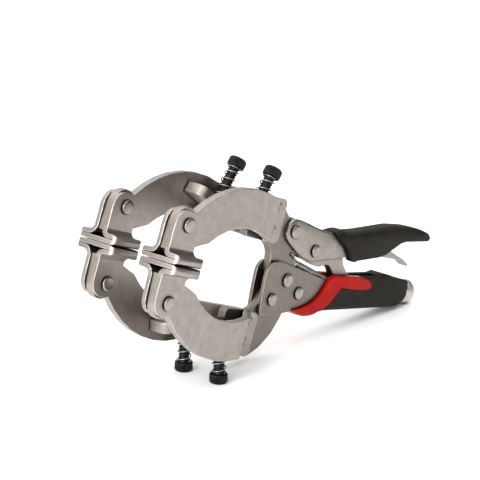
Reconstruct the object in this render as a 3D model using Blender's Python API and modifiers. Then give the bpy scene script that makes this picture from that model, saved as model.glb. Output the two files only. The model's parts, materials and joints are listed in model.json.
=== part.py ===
"""Locking pipe welding pliers.

Two forked jaws hold the butt joint of a pipe from both sides. Each jaw has two joggled arms on one
tang, each arm carries a folded swivel pad and a spring loaded screw that bears on the pipe. A lever,
a toggle link and an adjusting screw lock the movable jaw.

The pieces are drawn in the tool's own frame: X runs from the pads to the handles, Y from the front
arms to the rear arms, Z up, with the origin where the closed pads meet. The tool then stands on its
two lower screw heads and on the adjusting knob, which tips that frame.
"""

import math

import bmesh
import bpy
from mathutils import Matrix, Vector

NAME = "locking_pipe_pliers"
UPPER, LOWER = 1, -1
FRONT, REAR = -1, 1
SIDES = {FRONT: "front", REAR: "rear"}
LEVELS = {UPPER: "upper", LOWER: "lower"}

# General fits
gap = 0.0003
overrun = 0.010

# Plates and arms
arm_spacing = 0.055
arm_thickness = 0.005
tang_thickness = 0.006
arm_inner_radius = 0.0573
arm_depth = 0.0271
ring_half_gap = 0.0319
ring_centre_x = 0.067
bend_start_x = 0.0902
bend_angle = math.radians(38.2)
bend_radius = 0.003
foot_length = 0.0102
foot_low = 0.0247
foot_high = 0.0565
foot_corner_low = 0.0045
foot_corner_high = 0.004
arm_heel_x = 0.0285
arm_heel_z = 0.0170
arm_heel_rise = 0.0020
arm_heel_round = 0.003

# Swivel pads
rivet_height = 0.0259
pad_gap = 0.0006
pad_strip = 0.003
pad_length = 0.027
pad_width = 0.0332
pad_shift = 0.0009
pad_ear_width = 0.0246
pad_crown = 0.0094
pad_crown_round = 0.0104
pad_fold_gap = 0.0005
pad_ear_bend = 0.003
pad_corner = 0.0035
pad_rivet_radius = 0.003
pad_rivet_head = 0.005
rivet_head_height = 0.0018
arm_end_radius = 0.0215
arm_tip_radius = 0.0114
arm_end_half = 0.0124

# Pipe screws, their lugs and springs
screw_behind_bend = 0.0122
screw_tip_z = 0.031
screw_y = 0.016
screw_length = 0.040
screw_radius = 0.0039
screw_head_radius = 0.0063
screw_head_height = 0.0067
screw_chamfer = 0.001
socket_across = 0.006
socket_depth = 0.004
lug_start = 0.0058
lug_thickness = 0.0076
lug_back = 0.026
lug_ahead = 0.0095
lug_reach = 0.0158
lug_corner = 0.006
lug_small_corner = 0.0025
lug_relief = 0.002
lug_relief_length = 0.0028
spring_wire = 0.001
spring_play = 0.0006
spring_turns = 4.5

# Rivets of the handle, each by its run behind the handle's front
main_pivot_run = 0.0254
main_pivot_z = 0.0011
lever_pivot_run = 0.0202
lever_pivot_z = 0.0358
toggle_pivot_run = 0.0487
toggle_pivot_z = 0.0255
front_rivet_run = 0.0134
front_rivet_z = -0.0142
back_rivet_run = 0.0419
back_rivet_z = -0.0063
rivet_radius = 0.0035
main_head_radius = 0.0050
small_head_radius = 0.0046

# Tangs
tang_ahead = 0.030
tang_length = 0.080
tang_half_height = 0.057
pivot_lobe = 0.0100
lever_lobe = 0.0080
hook_hole_run = 0.0256
hook_hole_z = 0.0197
hook_hole_radius = 0.0017

# Fixed handle
sheet = 0.0025
handle_length = 0.1720
handle_low_z = -0.0275
handle_height = 0.0480
axis_share = 0.758
nut_length = 0.013
flare_shares = (0.407, 0.547)
flare_round = 0.010
rear_inner = 0.0088
web_share = 0.198
tongue_run = 0.0299
tongue_width = 0.0028
tongue_thickness = 0.0020
tongue_height = 0.0154
tongue_hook_drop = 0.0020

# Grips
rubber = 0.0019
grip_round = 0.0010
trim_proud = 0.0005
hood_share = 0.791
lip_proud = 0.0009

# Adjusting screw and knob
adjuster_radius = 0.0038
knob_clearance = 0.0007
knob_radius = 0.0092
knob_length = 0.0143
knob_dome = 0.0060
dome_steps = 7

# Lever
lever_run = 0.0110
lever_low_z = 0.0140
lever_length = 0.1750
lever_height = 0.0460
lever_eye = 0.0089
lever_edge = 0.0014
lever_web_clearance = 0.0010
lever_flare_shares = (0.349, 0.486)

# Toggle link and release lever
link_thickness = 0.006
link_back = 0.0114
link_drop = 0.0221
link_length = 0.0707
link_height = 0.0328
link_end_radius = 0.0045
link_play = 0.0028
link_to_screw = 0.0040
release_pin_share = (0.577, 0.561)
release_pin_radius = 0.0020
release_width = 0.0080
release_sheet = 0.0016

# Return spring
return_wire = 0.0011
return_radius = 0.0021
return_turns = 13
return_steps = 6
coil_start_run = 0.0119
coil_start_drop = 0.0061
coil_end_short = 0.0036
coil_end_rise = 0.0035
hook_share = 0.60

# Faceting
chord_error = 0.00025
round_steps = 16
small_steps = 12
coil_steps = 8
lean_rounds = 12

# Side views, as shares of a box round each group
handle_low_shares = [
    (0.0227, 0.0167, 0.012), (0.0843, 0.0458, 0.116), (0.1465, 0.0792, 0.070), (0.2017, 0.1375, 0.116),
    (0.2529, 0.1917, 0.116), (0.3256, 0.2417, 0.116), (0.9686, 0.5656, 0.015),
]
handle_top_shares = [
    (0.9686, 0.9104, 0.015), (0.8023, 0.9208, 0.058), (0.6512, 0.8375, 0.116), (0.4884, 0.7562, 0.047),
    (0.4360, 0.7167, 0.047), (0.3640, 0.7271, 0.116), (0.2872, 0.7667, 0.116), (0.2128, 0.7979, 0.116),
    (0.1471, 0.8229, 0.070), (0.1093, 0.8458, 0.058), (0.0645, 0.8479, 0.047), (0.0244, 0.8063, 0.023),
    (0.0041, 0.7083, 0.029), (0.0035, 0.5875, 0.116), (0.0105, 0.3042, 0.116),
]
grip_low_shares = [
    (0.2244, 0.1750, 0.009), (0.2442, 0.1562, 0.035), (0.2791, 0.1271, 0.058), (0.3221, 0.1208, 0.058),
    (0.3616, 0.1500, 0.070), (0.3983, 0.2021, 0.081), (0.4366, 0.2458, 0.081), (0.5605, 0.3146, 0.174),
    (0.9547, 0.5125, 0.029), (0.9860, 0.5854, 0.029), (0.9919, 0.6771, 0.023),
]
grip_top_shares = [
    (0.9919, 0.8333, 0.035), (0.9802, 0.9688, 0.017), (0.9419, 0.9604, 0.070), (0.8779, 0.9667, 0.070),
    (0.8314, 0.9917, 0.017), (0.7936, 0.9396, 0.017), (0.6628, 0.8750, 0.174), (0.5192, 0.8167, 0.087),
    (0.4488, 0.7917, 0.017),
]
trim_front_shares = [
    (0.4174, 0.7188, 0.012), (0.4006, 0.5896, 0.070), (0.3797, 0.4646, 0.070), (0.3494, 0.3604, 0.070),
    (0.3157, 0.2854, 0.070), (0.2674, 0.2167, 0.070), (0.2233, 0.1750),
]
trim_back_shares = [
    (0.3826, 0.2104), (0.4058, 0.2521), (0.4395, 0.3333), (0.4634, 0.4375), (0.4855, 0.5563),
    (0.5029, 0.6437, 0.009), (0.5814, 0.6562, 0.058), (0.6645, 0.6771, 0.058), (0.7070, 0.7188, 0.023),
    (0.7151, 0.7812, 0.017), (0.6802, 0.8479, 0.035), (0.6256, 0.8750),
]
lever_low_shares = [
    (0.0891, 0.1891, 0.069), (0.1480, 0.1000, 0.069), (0.2069, 0.0696, 0.069), (0.3309, 0.1630, 0.114),
    (0.4566, 0.2696, 0.114), (0.5543, 0.3348, 0.114), (0.6429, 0.4152, 0.086), (0.6886, 0.4826, 0.046),
    (0.7257, 0.5870, 0.046), (0.7714, 0.7109, 0.046), (0.8114, 0.7609, 0.046), (0.9229, 0.8174, 0.007),
]
lever_top_shares = [
    (0.9257, 0.8870, 0.007), (0.8971, 0.9174, 0.057), (0.8309, 0.9174, 0.114), (0.7177, 0.8696, 0.114),
    (0.6114, 0.7739, 0.114), (0.5086, 0.6761, 0.114), (0.4086, 0.6065, 0.086), (0.3371, 0.5848, 0.046),
    (0.2686, 0.5913, 0.046), (0.2229, 0.6022, 0.046), (0.1703, 0.6283, 0.057), (0.1189, 0.6522, 0.057),
    (0.0749, 0.6696, 0.057),
]
lever_grip_low_shares = [
    (0.4600, 0.2304, 0.011), (0.4949, 0.2391, 0.057), (0.5549, 0.2913, 0.114), (0.6429, 0.3696, 0.086),
    (0.6886, 0.4348, 0.046), (0.7234, 0.5283, 0.046), (0.7771, 0.6652, 0.046), (0.8103, 0.7130, 0.046),
    (0.9143, 0.7717, 0.057), (0.9703, 0.8022, 0.011),
]
lever_grip_top_shares = [
    (0.9886, 0.8565, 0.009), (0.9617, 0.9348, 0.046), (0.9086, 0.9696, 0.086), (0.8309, 0.9652, 0.114),
    (0.7177, 0.9174, 0.114), (0.6114, 0.8217, 0.114), (0.5091, 0.7239, 0.114), (0.4086, 0.6543, 0.086),
    (0.3606, 0.6391, 0.046), (0.3314, 0.6500, 0.029), (0.3057, 0.6435, 0.017),
]
lip_front_shares = [
    (0.2886, 0.6261, 0.003), (0.3171, 0.5935, 0.046), (0.3457, 0.5413, 0.057), (0.3789, 0.4696, 0.057),
    (0.4080, 0.4043, 0.057), (0.4326, 0.3217, 0.046), (0.4474, 0.2565, 0.023),
]
lip_back_shares = [
    (0.4857, 0.2130), (0.4600, 0.3674, 0.057), (0.4257, 0.4978, 0.057), (0.3840, 0.6065, 0.057),
    (0.3343, 0.6913),
]
link_low_shares = [
    (0.0000, 0.5793, 0.042), (0.0863, 0.4329, 0.071), (0.2405, 0.3628, 0.085), (0.3479, 0.3445, 0.085),
    (0.4413, 0.4116, 0.071), (0.5007, 0.4329, 0.042), (0.5615, 0.3476, 0.085), (0.6195, 0.2378, 0.141),
    (0.7454, 0.0000, 0.170),
]
link_top_shares = [
    (1.0000, 0.1860, 0.113), (0.9165, 0.2896, 0.113), (0.8246, 0.3811, 0.085), (0.7539, 0.5000, 0.057),
    (0.7171, 0.6280, 0.042), (0.6818, 0.7500, 0.057), (0.4908, 0.8720, 0.141), (0.2645, 1.0000, 0.113),
    (0.0665, 0.9939, 0.071), (0.0000, 0.8110, 0.057),
]
release_shares = [
    (0.4743, 0.4913, 0.011), (0.5143, 0.4435, 0.034), (0.6343, 0.3826, 0.057), (0.7257, 0.3826, 0.057),
    (0.8057, 0.3978, 0.057), (0.8629, 0.3826, 0.046), (0.9040, 0.3239, 0.002), (0.9109, 0.3522, 0.002),
    (0.8629, 0.4174, 0.057), (0.8057, 0.4652, 0.057), (0.7486, 0.5130, 0.046), (0.6800, 0.6043, 0.046),
    (0.6114, 0.6565, 0.023), (0.5457, 0.6261, 0.023),
]
release_floor_shares = [
    (0.4400, 0.5435), (0.4743, 0.5304), (0.5143, 0.4783), (0.6343, 0.4174), (0.7257, 0.4174),
    (0.8057, 0.4326), (0.8514, 0.4217), (0.8686, 0.6957), (0.7486, 0.8261), (0.4400, 0.8261),
]
movable_tang_left_shares = [
    (0.4462, 0.9789, 0.015), (0.4113, 0.9912, 0.015), (0.0000, 0.9912, 0.037), (0.0000, 0.7219, 0.050),
    (0.3250, 0.7149, 0.100), (0.4075, 0.6667, 0.100), (0.4325, 0.6053, 0.125), (0.4400, 0.5395, 0.150),
]
movable_tang_right_shares = [
    (0.7937, 0.6009, 0.150), (0.7450, 0.6754, 0.150), (0.7400, 0.7632, 0.150),
]
movable_tang_top_shares = [
    (0.5700, 0.8807, 0.037), (0.5125, 0.9053, 0.075), (0.4575, 0.9351, 0.037),
]
fixed_tang_shares = [
    (0.4750, 0.4254, 0.031), (0.4437, 0.3904, 0.100), (0.4075, 0.3289, 0.100), (0.3250, 0.2842, 0.100),
    (0.0000, 0.2781, 0.050), (0.0000, 0.0035, 0.037), (0.2750, -0.0018, 0.250), (0.3625, 0.0009, 0.125),
    (0.4488, 0.0061, 0.019), (0.4688, 0.0149, 0.025), (0.5800, 0.0675, 0.250), (0.7038, 0.1667, 0.250),
    (0.7675, 0.2632, 0.100), (0.7937, 0.3158, 0.037), (0.7950, 0.3491, 0.015), (0.9000, 0.3711, 0.037),
    (0.9812, 0.4079, 0.050), (0.9938, 0.4798, 0.037), (0.8475, 0.4798, 0.019),
]

MATERIALS = {
    "nickel_plate": ((0.52, 0.50, 0.48), 0.42, 1.0),
    "plated_lever": ((0.55, 0.53, 0.51), 0.38, 1.0),
    "black_oxide": ((0.010, 0.010, 0.011), 0.38, 0.6),
    "spring_steel": ((0.62, 0.61, 0.59), 0.28, 1.0),
    "black_rubber": ((0.018, 0.017, 0.015), 0.62, 0.0),
    "red_trim": ((0.55, 0.018, 0.012), 0.42, 0.0),
    "zinc_knob": ((0.50, 0.48, 0.45), 0.35, 1.0),
    "rivet_steel": ((0.66, 0.65, 0.62), 0.30, 1.0),
}

arm_outer_radius = arm_inner_radius + arm_depth
ring_centre_z = ring_half_gap - arm_inner_radius
arm_y = arm_spacing / 2
tang_half = tang_thickness / 2
foot_y = tang_half + gap + arm_thickness / 2
bend_end_x = bend_start_x + (arm_y - foot_y) / math.tan(bend_angle)
foot_end_x = bend_end_x + foot_length
screw_tip_x = bend_start_x - screw_behind_bend
handle_half = tang_half + gap + sheet
rear_half = rear_inner / 2 + sheet
ear_inner = arm_thickness / 2 + gap
ear_outer = ear_inner + pad_strip
grip_half = rear_half + gap + rubber
handle_front_x = foot_end_x
tang_left_x = handle_front_x - tang_ahead
lever_left_x = handle_front_x + lever_run
main_pivot = (handle_front_x + main_pivot_run, main_pivot_z)
lever_pivot = (handle_front_x + lever_pivot_run, lever_pivot_z)
toggle_pivot = (handle_front_x + toggle_pivot_run, toggle_pivot_z)
front_rivet = (handle_front_x + front_rivet_run, front_rivet_z)
back_rivet = (handle_front_x + back_rivet_run, back_rivet_z)
hook_hole = (handle_front_x + hook_hole_run, hook_hole_z)
jaw_box = (tang_left_x, -tang_half_height, tang_length, 2 * tang_half_height)
handle_box = (handle_front_x, handle_low_z, handle_length, handle_height)
lever_box = (lever_left_x, lever_low_z, lever_length, lever_height)
link_box = (toggle_pivot[0] - link_back, toggle_pivot_z - link_drop, link_length, link_height)
flare_from_x, flare_to_x = (handle_front_x + handle_length * share for share in flare_shares)
web_from_x = handle_front_x + handle_length * web_share
tongue_x = toggle_pivot[0] + tongue_run
hood_from_x = handle_front_x + handle_length * hood_share
handle_end_x = handle_front_x + handle_length * handle_low_shares[-1][0]
grip_end_x = handle_front_x + handle_length * grip_low_shares[-1][0]
knob_start_x = grip_end_x + knob_clearance
handle_axis_z = handle_low_z + handle_height * axis_share
tail_run = handle_length * (handle_low_shares[-1][0] - handle_low_shares[-2][0])
tail_rise = handle_height * (handle_low_shares[-1][1] - handle_low_shares[-2][1])
handle_slope = math.atan2(tail_rise, tail_run)
adjuster_tip_x = link_box[0] + link_length + link_to_screw
lever_flare_from_x, lever_flare_to_x = (lever_left_x + lever_length * share for share in lever_flare_shares)
lever_web_x = lever_pivot[0] + lever_lobe + lever_web_clearance
release_pin_x = lever_left_x + lever_length * release_pin_share[0]
release_pin = (release_pin_x, lever_low_z + lever_height * release_pin_share[1])


# Outlines

def arc(centre, radius, start, end):
    """Points on an arc from one angle to another, both ends included."""
    step = 2 * math.acos(max(1 - chord_error / radius, 0.5))
    count = max(2, math.ceil(abs(end - start) / step))
    angles = [start + (end - start) * i / count for i in range(count + 1)]
    return [(centre[0] + radius * math.cos(a), centre[1] + radius * math.sin(a)) for a in angles]


def angle_to(centre, place):
    return math.atan2(place[1] - centre[1], place[0] - centre[0])


def handle_way():
    return Vector((math.cos(handle_slope), 0, math.sin(handle_slope)))


def handle_axis(x):
    """The place on the adjusting screw's axis at x."""
    return Vector((x, 0, handle_axis_z + (x - knob_start_x) * math.tan(handle_slope)))


def placed(shares, box):
    """Corners from shares of a box that has a left x, a low z, a length and a height."""
    x, z, length, height = box
    return [(x + length * u, z + height * v, *(length * r for r in rest)) for u, v, *rest in shares]


def raised(corners, rise):
    return [(u, v + rise, *rest) for u, v, *rest in corners]


def on_line(corners, x):
    """The height at x of a line through corners that are in order of x."""
    for low, high in zip(corners, corners[1:]):
        if x <= high[0]:
            break
    return low[1] + (high[1] - low[1]) * (x - low[0]) / (high[0] - low[0])


def circles_meet(centre_a, radius_a, centre_b, radius_b, side):
    """Where two circles cross, on the left (1) or right (-1) of the line from a to b."""
    a, b = Vector(centre_a), Vector(centre_b)
    span = (b - a).length
    along = (radius_a ** 2 - radius_b ** 2 + span ** 2) / (2 * span)
    across = math.sqrt(max(radius_a ** 2 - along ** 2, 0)) * side
    way = (b - a).normalized()
    return tuple(a + way * along + Vector((-way.y, way.x)) * across)


def rounded(corners):
    """A closed outline from corners (u, v) or (u, v, fillet radius)."""
    outline = []
    count = len(corners)
    for i, corner in enumerate(corners):
        here = Vector(corner[:2])
        if len(corner) < 3:
            outline.append(tuple(here))
            continue
        back = Vector(corners[i - 1][:2]) - here
        ahead = Vector(corners[(i + 1) % count][:2]) - here
        turn = math.pi - back.angle(ahead)
        if turn < math.radians(1):
            outline.append(tuple(here))
            continue
        room = 0.49 * min(back.length, ahead.length)
        reach = min(corner[2] * math.tan(turn / 2), room)
        radius = reach / math.tan(turn / 2)
        first = here + back.normalized() * reach
        bisector = (back.normalized() + ahead.normalized()).normalized()
        centre = here + bisector * (radius / math.cos(turn / 2))
        start = angle_to(centre, first)
        sweep = angle_to(centre, here + ahead.normalized() * reach) - start
        sweep = (sweep + math.pi) % math.tau - math.pi
        outline.extend(arc(centre, radius, start, start + sweep))
    return outline


def grown(outline, distance):
    """A closed counterclockwise outline moved outward by a distance."""
    moved = []
    for i, place in enumerate(outline):
        here = Vector(place[:2])
        back = (here - Vector(outline[i - 1][:2])).normalized()
        ahead = (Vector(outline[(i + 1) % len(outline)][:2]) - here).normalized()
        normal = Vector((back.y + ahead.y, -back.x - ahead.x)).normalized()
        scale = distance / max(normal.dot(Vector((back.y, -back.x))), 0.5)
        moved.append(tuple(here + normal * scale))
    return moved


def ribbon(path, thickness, bends):
    """The outline of a bent strip of even thickness, from its centre line and its bends' inner radii."""
    left, right = [], []
    for i, place in enumerate(path):
        here = Vector(place)
        back = (here - Vector(path[i - 1])).normalized() if i else None
        ahead = (Vector(path[i + 1]) - here).normalized() if i + 1 < len(path) else None
        first, last = back or ahead, ahead or back
        normal = Vector((-first.y - last.y, first.x + last.x)).normalized()
        half = thickness / 2 / normal.dot(Vector((-first.y, first.x)))
        if back is None or ahead is None:
            left.append(tuple(here + normal * half))
            right.append(tuple(here - normal * half))
            continue
        near, far = bends[i - 1], bends[i - 1] + thickness
        turns_left = first.x * last.y > first.y * last.x
        left.append((*(here + normal * half), near if turns_left else far))
        right.append((*(here - normal * half), far if turns_left else near))
    return rounded(right + left[::-1])


def mirrored(outline):
    """An outline for the lower side of the tool, with Z turned over."""
    return [(u, -v) for u, v in reversed(outline)]


# Solids

def mesh_object(name, mesh):
    thing = bpy.data.objects.new(name, mesh)
    bpy.context.collection.objects.link(thing)
    return thing


def as_mesh(guide):
    """Turns a curve object into a mesh object with its caps joined on."""
    bpy.context.view_layer.update()
    mesh = bpy.data.meshes.new_from_object(guide.evaluated_get(bpy.context.evaluated_depsgraph_get()))
    name = guide.name
    bpy.data.objects.remove(guide)
    mesh.name = name
    work = bmesh.new()
    work.from_mesh(mesh)
    bmesh.ops.remove_doubles(work, verts=work.verts, dist=gap / 100)
    bmesh.ops.dissolve_limit(work, angle_limit=math.radians(0.5), verts=work.verts, edges=work.edges)
    bmesh.ops.recalc_face_normals(work, faces=work.faces)
    work.to_mesh(mesh)
    work.free()
    return mesh_object(name, mesh)


def filled(name, outline, low, high, upright):
    """A straight prism on an outline in XZ (upright) or XY, made from a filled 2D curve."""
    curve = bpy.data.curves.new(name, "CURVE")
    curve.dimensions = "2D"
    curve.fill_mode = "BOTH"
    curve.extrude = (high - low) / 2
    spline = curve.splines.new("POLY")
    spline.points.add(len(outline) - 1)
    for point, place in zip(spline.points, outline):
        point.co = (place[0], place[1], 0, 1)
    spline.use_cyclic_u = True
    thing = as_mesh(mesh_object(name, curve))
    middle = (low + high) / 2
    turn = Matrix.Rotation(math.pi / 2, 4, "X") if upright else Matrix.Identity(4)
    shift = Vector((0, middle, 0)) if upright else Vector((0, 0, middle))
    thing.data.transform(Matrix.Translation(shift) @ turn)
    return thing


def plate(name, outline, low, high):
    return filled(name, outline, low, high, True)


def slab(name, outline, low, high):
    return filled(name, outline, low, high, False)


def turned(name, profile, start, way, steps=round_steps):
    """A solid of revolution: the profile gives (radius, distance along the axis), top first."""
    mesh = bpy.data.meshes.new(name)
    rows = [(radius, 0, along) for radius, along in profile]
    mesh.from_pydata(rows, [(i, i + 1) for i in range(len(rows) - 1)], [])
    thing = mesh_object(name, mesh)
    screw = thing.modifiers.new("Turn", "SCREW")
    screw.steps = steps
    screw.render_steps = steps
    screw.use_merge_vertices = True
    screw.merge_threshold = gap / 100
    screw.use_smooth_shade = True
    thing.rotation_mode = "QUATERNION"
    thing.rotation_quaternion = Vector((0, 0, 1)).rotation_difference(Vector(way))
    thing.location = start
    return thing


def combine(thing, other, operation):
    """Cuts, joins or intersects with another object, which stays as a hidden guide."""
    step = thing.modifiers.new(operation.title(), "BOOLEAN")
    step.operation = operation
    step.solver = "EXACT"
    step.object = other
    other.parent = thing
    other.matrix_parent_inverse = thing.matrix_basis.inverted()
    guides.objects.link(other)
    for holder in list(other.users_collection):
        if holder is not guides:
            holder.objects.unlink(other)
    other.hide_render = True
    other.display_type = "WIRE"
    return thing


def cut(thing, *others):
    for other in others:
        combine(thing, other, "DIFFERENCE")
    return thing


def keep(thing, *others):
    for other in others:
        combine(thing, other, "INTERSECT")
    return thing


def soften(thing, width, segments=1):
    bevel = thing.modifiers.new("Edges", "BEVEL")
    bevel.width = width
    bevel.segments = segments
    bevel.limit_method = "ANGLE"
    bevel.angle_limit = math.radians(50)
    return thing


def finish(thing, finish_name, holder):
    """Gives a piece its material and its holder, and files it with the other pieces."""
    red_green_blue, roughness, metallic = MATERIALS[finish_name]
    material = bpy.data.materials.get(finish_name) or bpy.data.materials.new(finish_name)
    material.use_nodes = True
    shader = material.node_tree.nodes["Principled BSDF"]
    shader.inputs["Base Color"].default_value = (*red_green_blue, 1)
    shader.inputs["Roughness"].default_value = roughness
    shader.inputs["Metallic"].default_value = metallic
    thing.data.materials.clear()
    thing.data.materials.append(material)
    parts.objects.link(thing)
    for other in list(thing.users_collection):
        if other is not parts:
            other.objects.unlink(thing)
    thing.parent = holder
    thing.matrix_parent_inverse = holder.matrix_world.inverted()
    return thing


def pivot(name, place, way, holder):
    """An empty on a joint's axis, with its own Z along that axis."""
    empty = bpy.data.objects.new(name, None)
    bpy.context.collection.objects.link(empty)
    empty.empty_display_size = main_head_radius
    empty.rotation_mode = "QUATERNION"
    empty.rotation_quaternion = Vector((0, 0, 1)).rotation_difference(Vector(way))
    empty.location = place
    bpy.context.view_layer.update()
    if holder:
        empty.parent = holder
        empty.matrix_parent_inverse = holder.matrix_world.inverted()
        bpy.context.view_layer.update()
    return empty


def hinge(name, place, holder):
    return pivot(name, (place[0], 0, place[1]), (0, 1, 0), holder)


def bore(name, place, radius, half, steps=round_steps):
    """A cutter for a round hole across the tool."""
    profile = [(0, half), (radius, half), (radius, -half), (0, -half)]
    return turned(name, profile, (place[0], 0, place[1]), (0, 1, 0), steps)


def rivet(name, place, y, shank, head, half, holder, finish_name="rivet_steel"):
    """A rivet across plates that reach a half width either side of y."""
    crown = half + gap + rivet_head_height
    edge = rivet_head_height / 2
    side = [(0, crown), (head - edge, crown), (head, crown - edge), (head, half + gap), (shank, half + gap)]
    profile = side + [(radius, -along) for radius, along in reversed(side)]
    thing = turned(name, profile, (place[0], y, place[1]), (0, 1, 0))
    return finish(thing, finish_name, holder)


# Jaw arms

def arm_outline():
    """The side view of an upper arm, from the pad to its foot on the tang."""
    centre = (ring_centre_x, ring_centre_z)
    tip = (0, rivet_height)
    heel = (arm_heel_x, arm_heel_z)
    low_angle = math.asin(arm_end_half / arm_end_radius)
    meet = circles_meet(tip, arm_tip_radius, centre, arm_outer_radius, 1)
    bend_angle_in = math.acos((bend_start_x - ring_centre_x) / arm_inner_radius)
    bend_angle_out = math.acos((bend_start_x - ring_centre_x) / arm_outer_radius)
    low_end = arc(tip, arm_end_radius, -math.pi / 2 - low_angle, -math.pi / 2 + low_angle)
    shelf = (low_end[-1][0] + arm_heel_rise, low_end[-1][1] + arm_heel_rise * 2)
    return rounded([
        *low_end,
        (*shelf, arm_heel_rise),
        (*heel, arm_heel_round),
        *arc(centre, arm_inner_radius, angle_to(centre, heel), bend_angle_in)[1:],
        (bend_end_x, foot_low),
        (foot_end_x, foot_low, foot_corner_low),
        (foot_end_x, foot_high, foot_corner_high),
        *arc(centre, arm_outer_radius, bend_angle_out, angle_to(centre, meet)),
        *arc(tip, arm_tip_radius, angle_to(tip, meet), math.pi)[1:],
    ])


def arm_strip(side):
    """The top view of an arm: flat, then bent in to the tang, then flat on its side."""
    path = [
        (-arm_end_radius - overrun, side * arm_y),
        (bend_start_x, side * arm_y),
        (bend_end_x, side * foot_y),
        (foot_end_x + overrun, side * foot_y),
    ]
    return ribbon(path, arm_thickness, [bend_radius, bend_radius])


def make_arm(level, side, holder):
    name = f"{LEVELS[level]}_{SIDES[side]}_arm"
    outline = arm_outline() if level == UPPER else mirrored(arm_outline())
    top = foot_high + arm_outer_radius
    arm = plate(name, outline, -arm_spacing, arm_spacing)
    keep(arm, slab(f"{name}_strip", arm_strip(side), -top, top))
    rivet_place = (0, level * rivet_height)
    hole = bore(f"{name}_hole", rivet_place, pad_rivet_radius + gap, arm_spacing)
    cut(arm, hole)
    return finish(arm, "nickel_plate", holder)


# Swivel pads

def pad_fold():
    """The end view of a pad: ear, hem, sole, hem, ear, folded from one strip."""
    sole = pad_gap / 2 + pad_strip / 2
    upper = sole + pad_strip + pad_fold_gap
    edge = pad_width / 2 - pad_strip / 2
    ear = ear_inner + pad_strip / 2
    top = rivet_height + pad_ear_width
    right = [(ear, top), (ear, upper), (edge, upper), (edge, sole)]
    hem = pad_fold_gap / 2
    bends = [pad_ear_bend, hem, hem, hem, hem, pad_ear_bend]
    return ribbon(right + [(-u, v) for u, v in reversed(right)], pad_strip, bends)


def pad_side():
    """The side view of a pad: sole, hem and the round top of the ears."""
    half, ear = pad_length / 2, pad_ear_width / 2
    hem_top = pad_gap / 2 + 2 * pad_strip + pad_fold_gap
    shoulder, top = hem_top + pad_ear_bend, rivet_height + pad_crown
    right = [
        (half, 0),
        (half, hem_top, pad_ear_bend),
        (ear, shoulder, pad_ear_bend),
        (ear, top, pad_crown_round),
    ]
    corners = right + [(-u, *rest) for u, *rest in reversed(right)]
    return rounded([(u - pad_shift, *rest) for u, *rest in corners])


def make_pad(level, side, holder):
    name = f"{LEVELS[level]}_{SIDES[side]}_pad"
    y = side * arm_y
    fold = pad_fold()
    pad = slab(name, fold, -pad_length, pad_length)
    upright = Matrix(((0, 0, 1, 0), (1, 0, 0, y), (0, 1, 0, 0), (0, 0, 0, 1)))
    pad.data.transform(upright)
    side_view = pad_side() if level == UPPER else mirrored(pad_side())
    if level == LOWER:
        pad.data.transform(Matrix.Scale(-1, 4, Vector((0, 0, 1))))
        pad.data.flip_normals()
    keep(pad, plate(f"{name}_side", side_view, y - pad_width, y + pad_width))
    half, across = pad_length / 2, pad_width / 2
    right, left = half - pad_shift, -half - pad_shift
    plan = [(right, y - across), (right, y + across), (left, y + across), (left, y - across)]
    top = rivet_height + pad_ear_width
    keep(pad, slab(f"{name}_plan", rounded([(*c, pad_corner) for c in plan]), -top, top))
    cut(pad, bore(f"{name}_hole", (0, level * rivet_height), pad_rivet_radius + gap, arm_spacing))
    return finish(pad, "nickel_plate", holder)


# Screws, lugs and springs

def standing_lean():
    """The lean at which the lower screw heads lie flat on the ground that the knob touches too."""
    dome = handle_axis(knob_start_x) + handle_way() * (knob_length - knob_dome)
    run, rise = dome.x - screw_tip_x, dome.z + screw_tip_z
    lean = handle_slope
    for _ in range(lean_rounds):
        tilt = lean - handle_slope
        below = math.hypot(knob_dome * math.sin(tilt), knob_radius * math.cos(tilt))
        level = screw_length + screw_head_height - below
        lean = math.atan2(rise, run) + math.asin(level / math.hypot(run, rise))
    return lean


def screw_frame(level, side):
    """A screw's tip and the direction in which its head lies."""
    lean = standing_lean()
    tip = Vector((screw_tip_x, side * screw_y, level * screw_tip_z))
    return tip, Vector((math.sin(lean), 0, level * math.cos(lean)))


def make_lug(level, side, holder):
    """The lug's own X runs along the arm, its Y to the arm and its Z up the screw."""
    name = f"{LEVELS[level]}_{SIDES[side]}_lug"
    tip, way = screw_frame(level, side)
    to_arm = arm_y - arm_thickness / 2 - gap - screw_y
    free = to_arm - lug_reach
    corners = [
        (-lug_back, free, lug_corner),
        (lug_ahead, free, lug_small_corner),
        (lug_ahead, to_arm - lug_relief),
        (lug_ahead - lug_relief_length, to_arm),
        (-lug_back, to_arm),
    ]
    lug = slab(name, rounded(corners), lug_start, lug_start + lug_thickness)
    hole = turned(
        f"{name}_hole",
        [(0, screw_length), (screw_radius + gap, screw_length), (screw_radius + gap, -overrun), (0, -overrun)],
        (0, 0, 0),
        (0, 0, 1),
        small_steps,
    )
    across = Vector((0, side, 0))
    along = Vector((level * way.z, 0, -level * way.x))
    frame = Matrix((along, across, way)).transposed().to_4x4()
    frame.translation = tip
    lug.data.transform(frame)
    if frame.determinant() < 0:
        lug.data.flip_normals()
    hole.rotation_quaternion = Vector((0, 0, 1)).rotation_difference(way)
    hole.location = tip
    cut(lug, hole)
    return finish(lug, "nickel_plate", holder)


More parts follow.
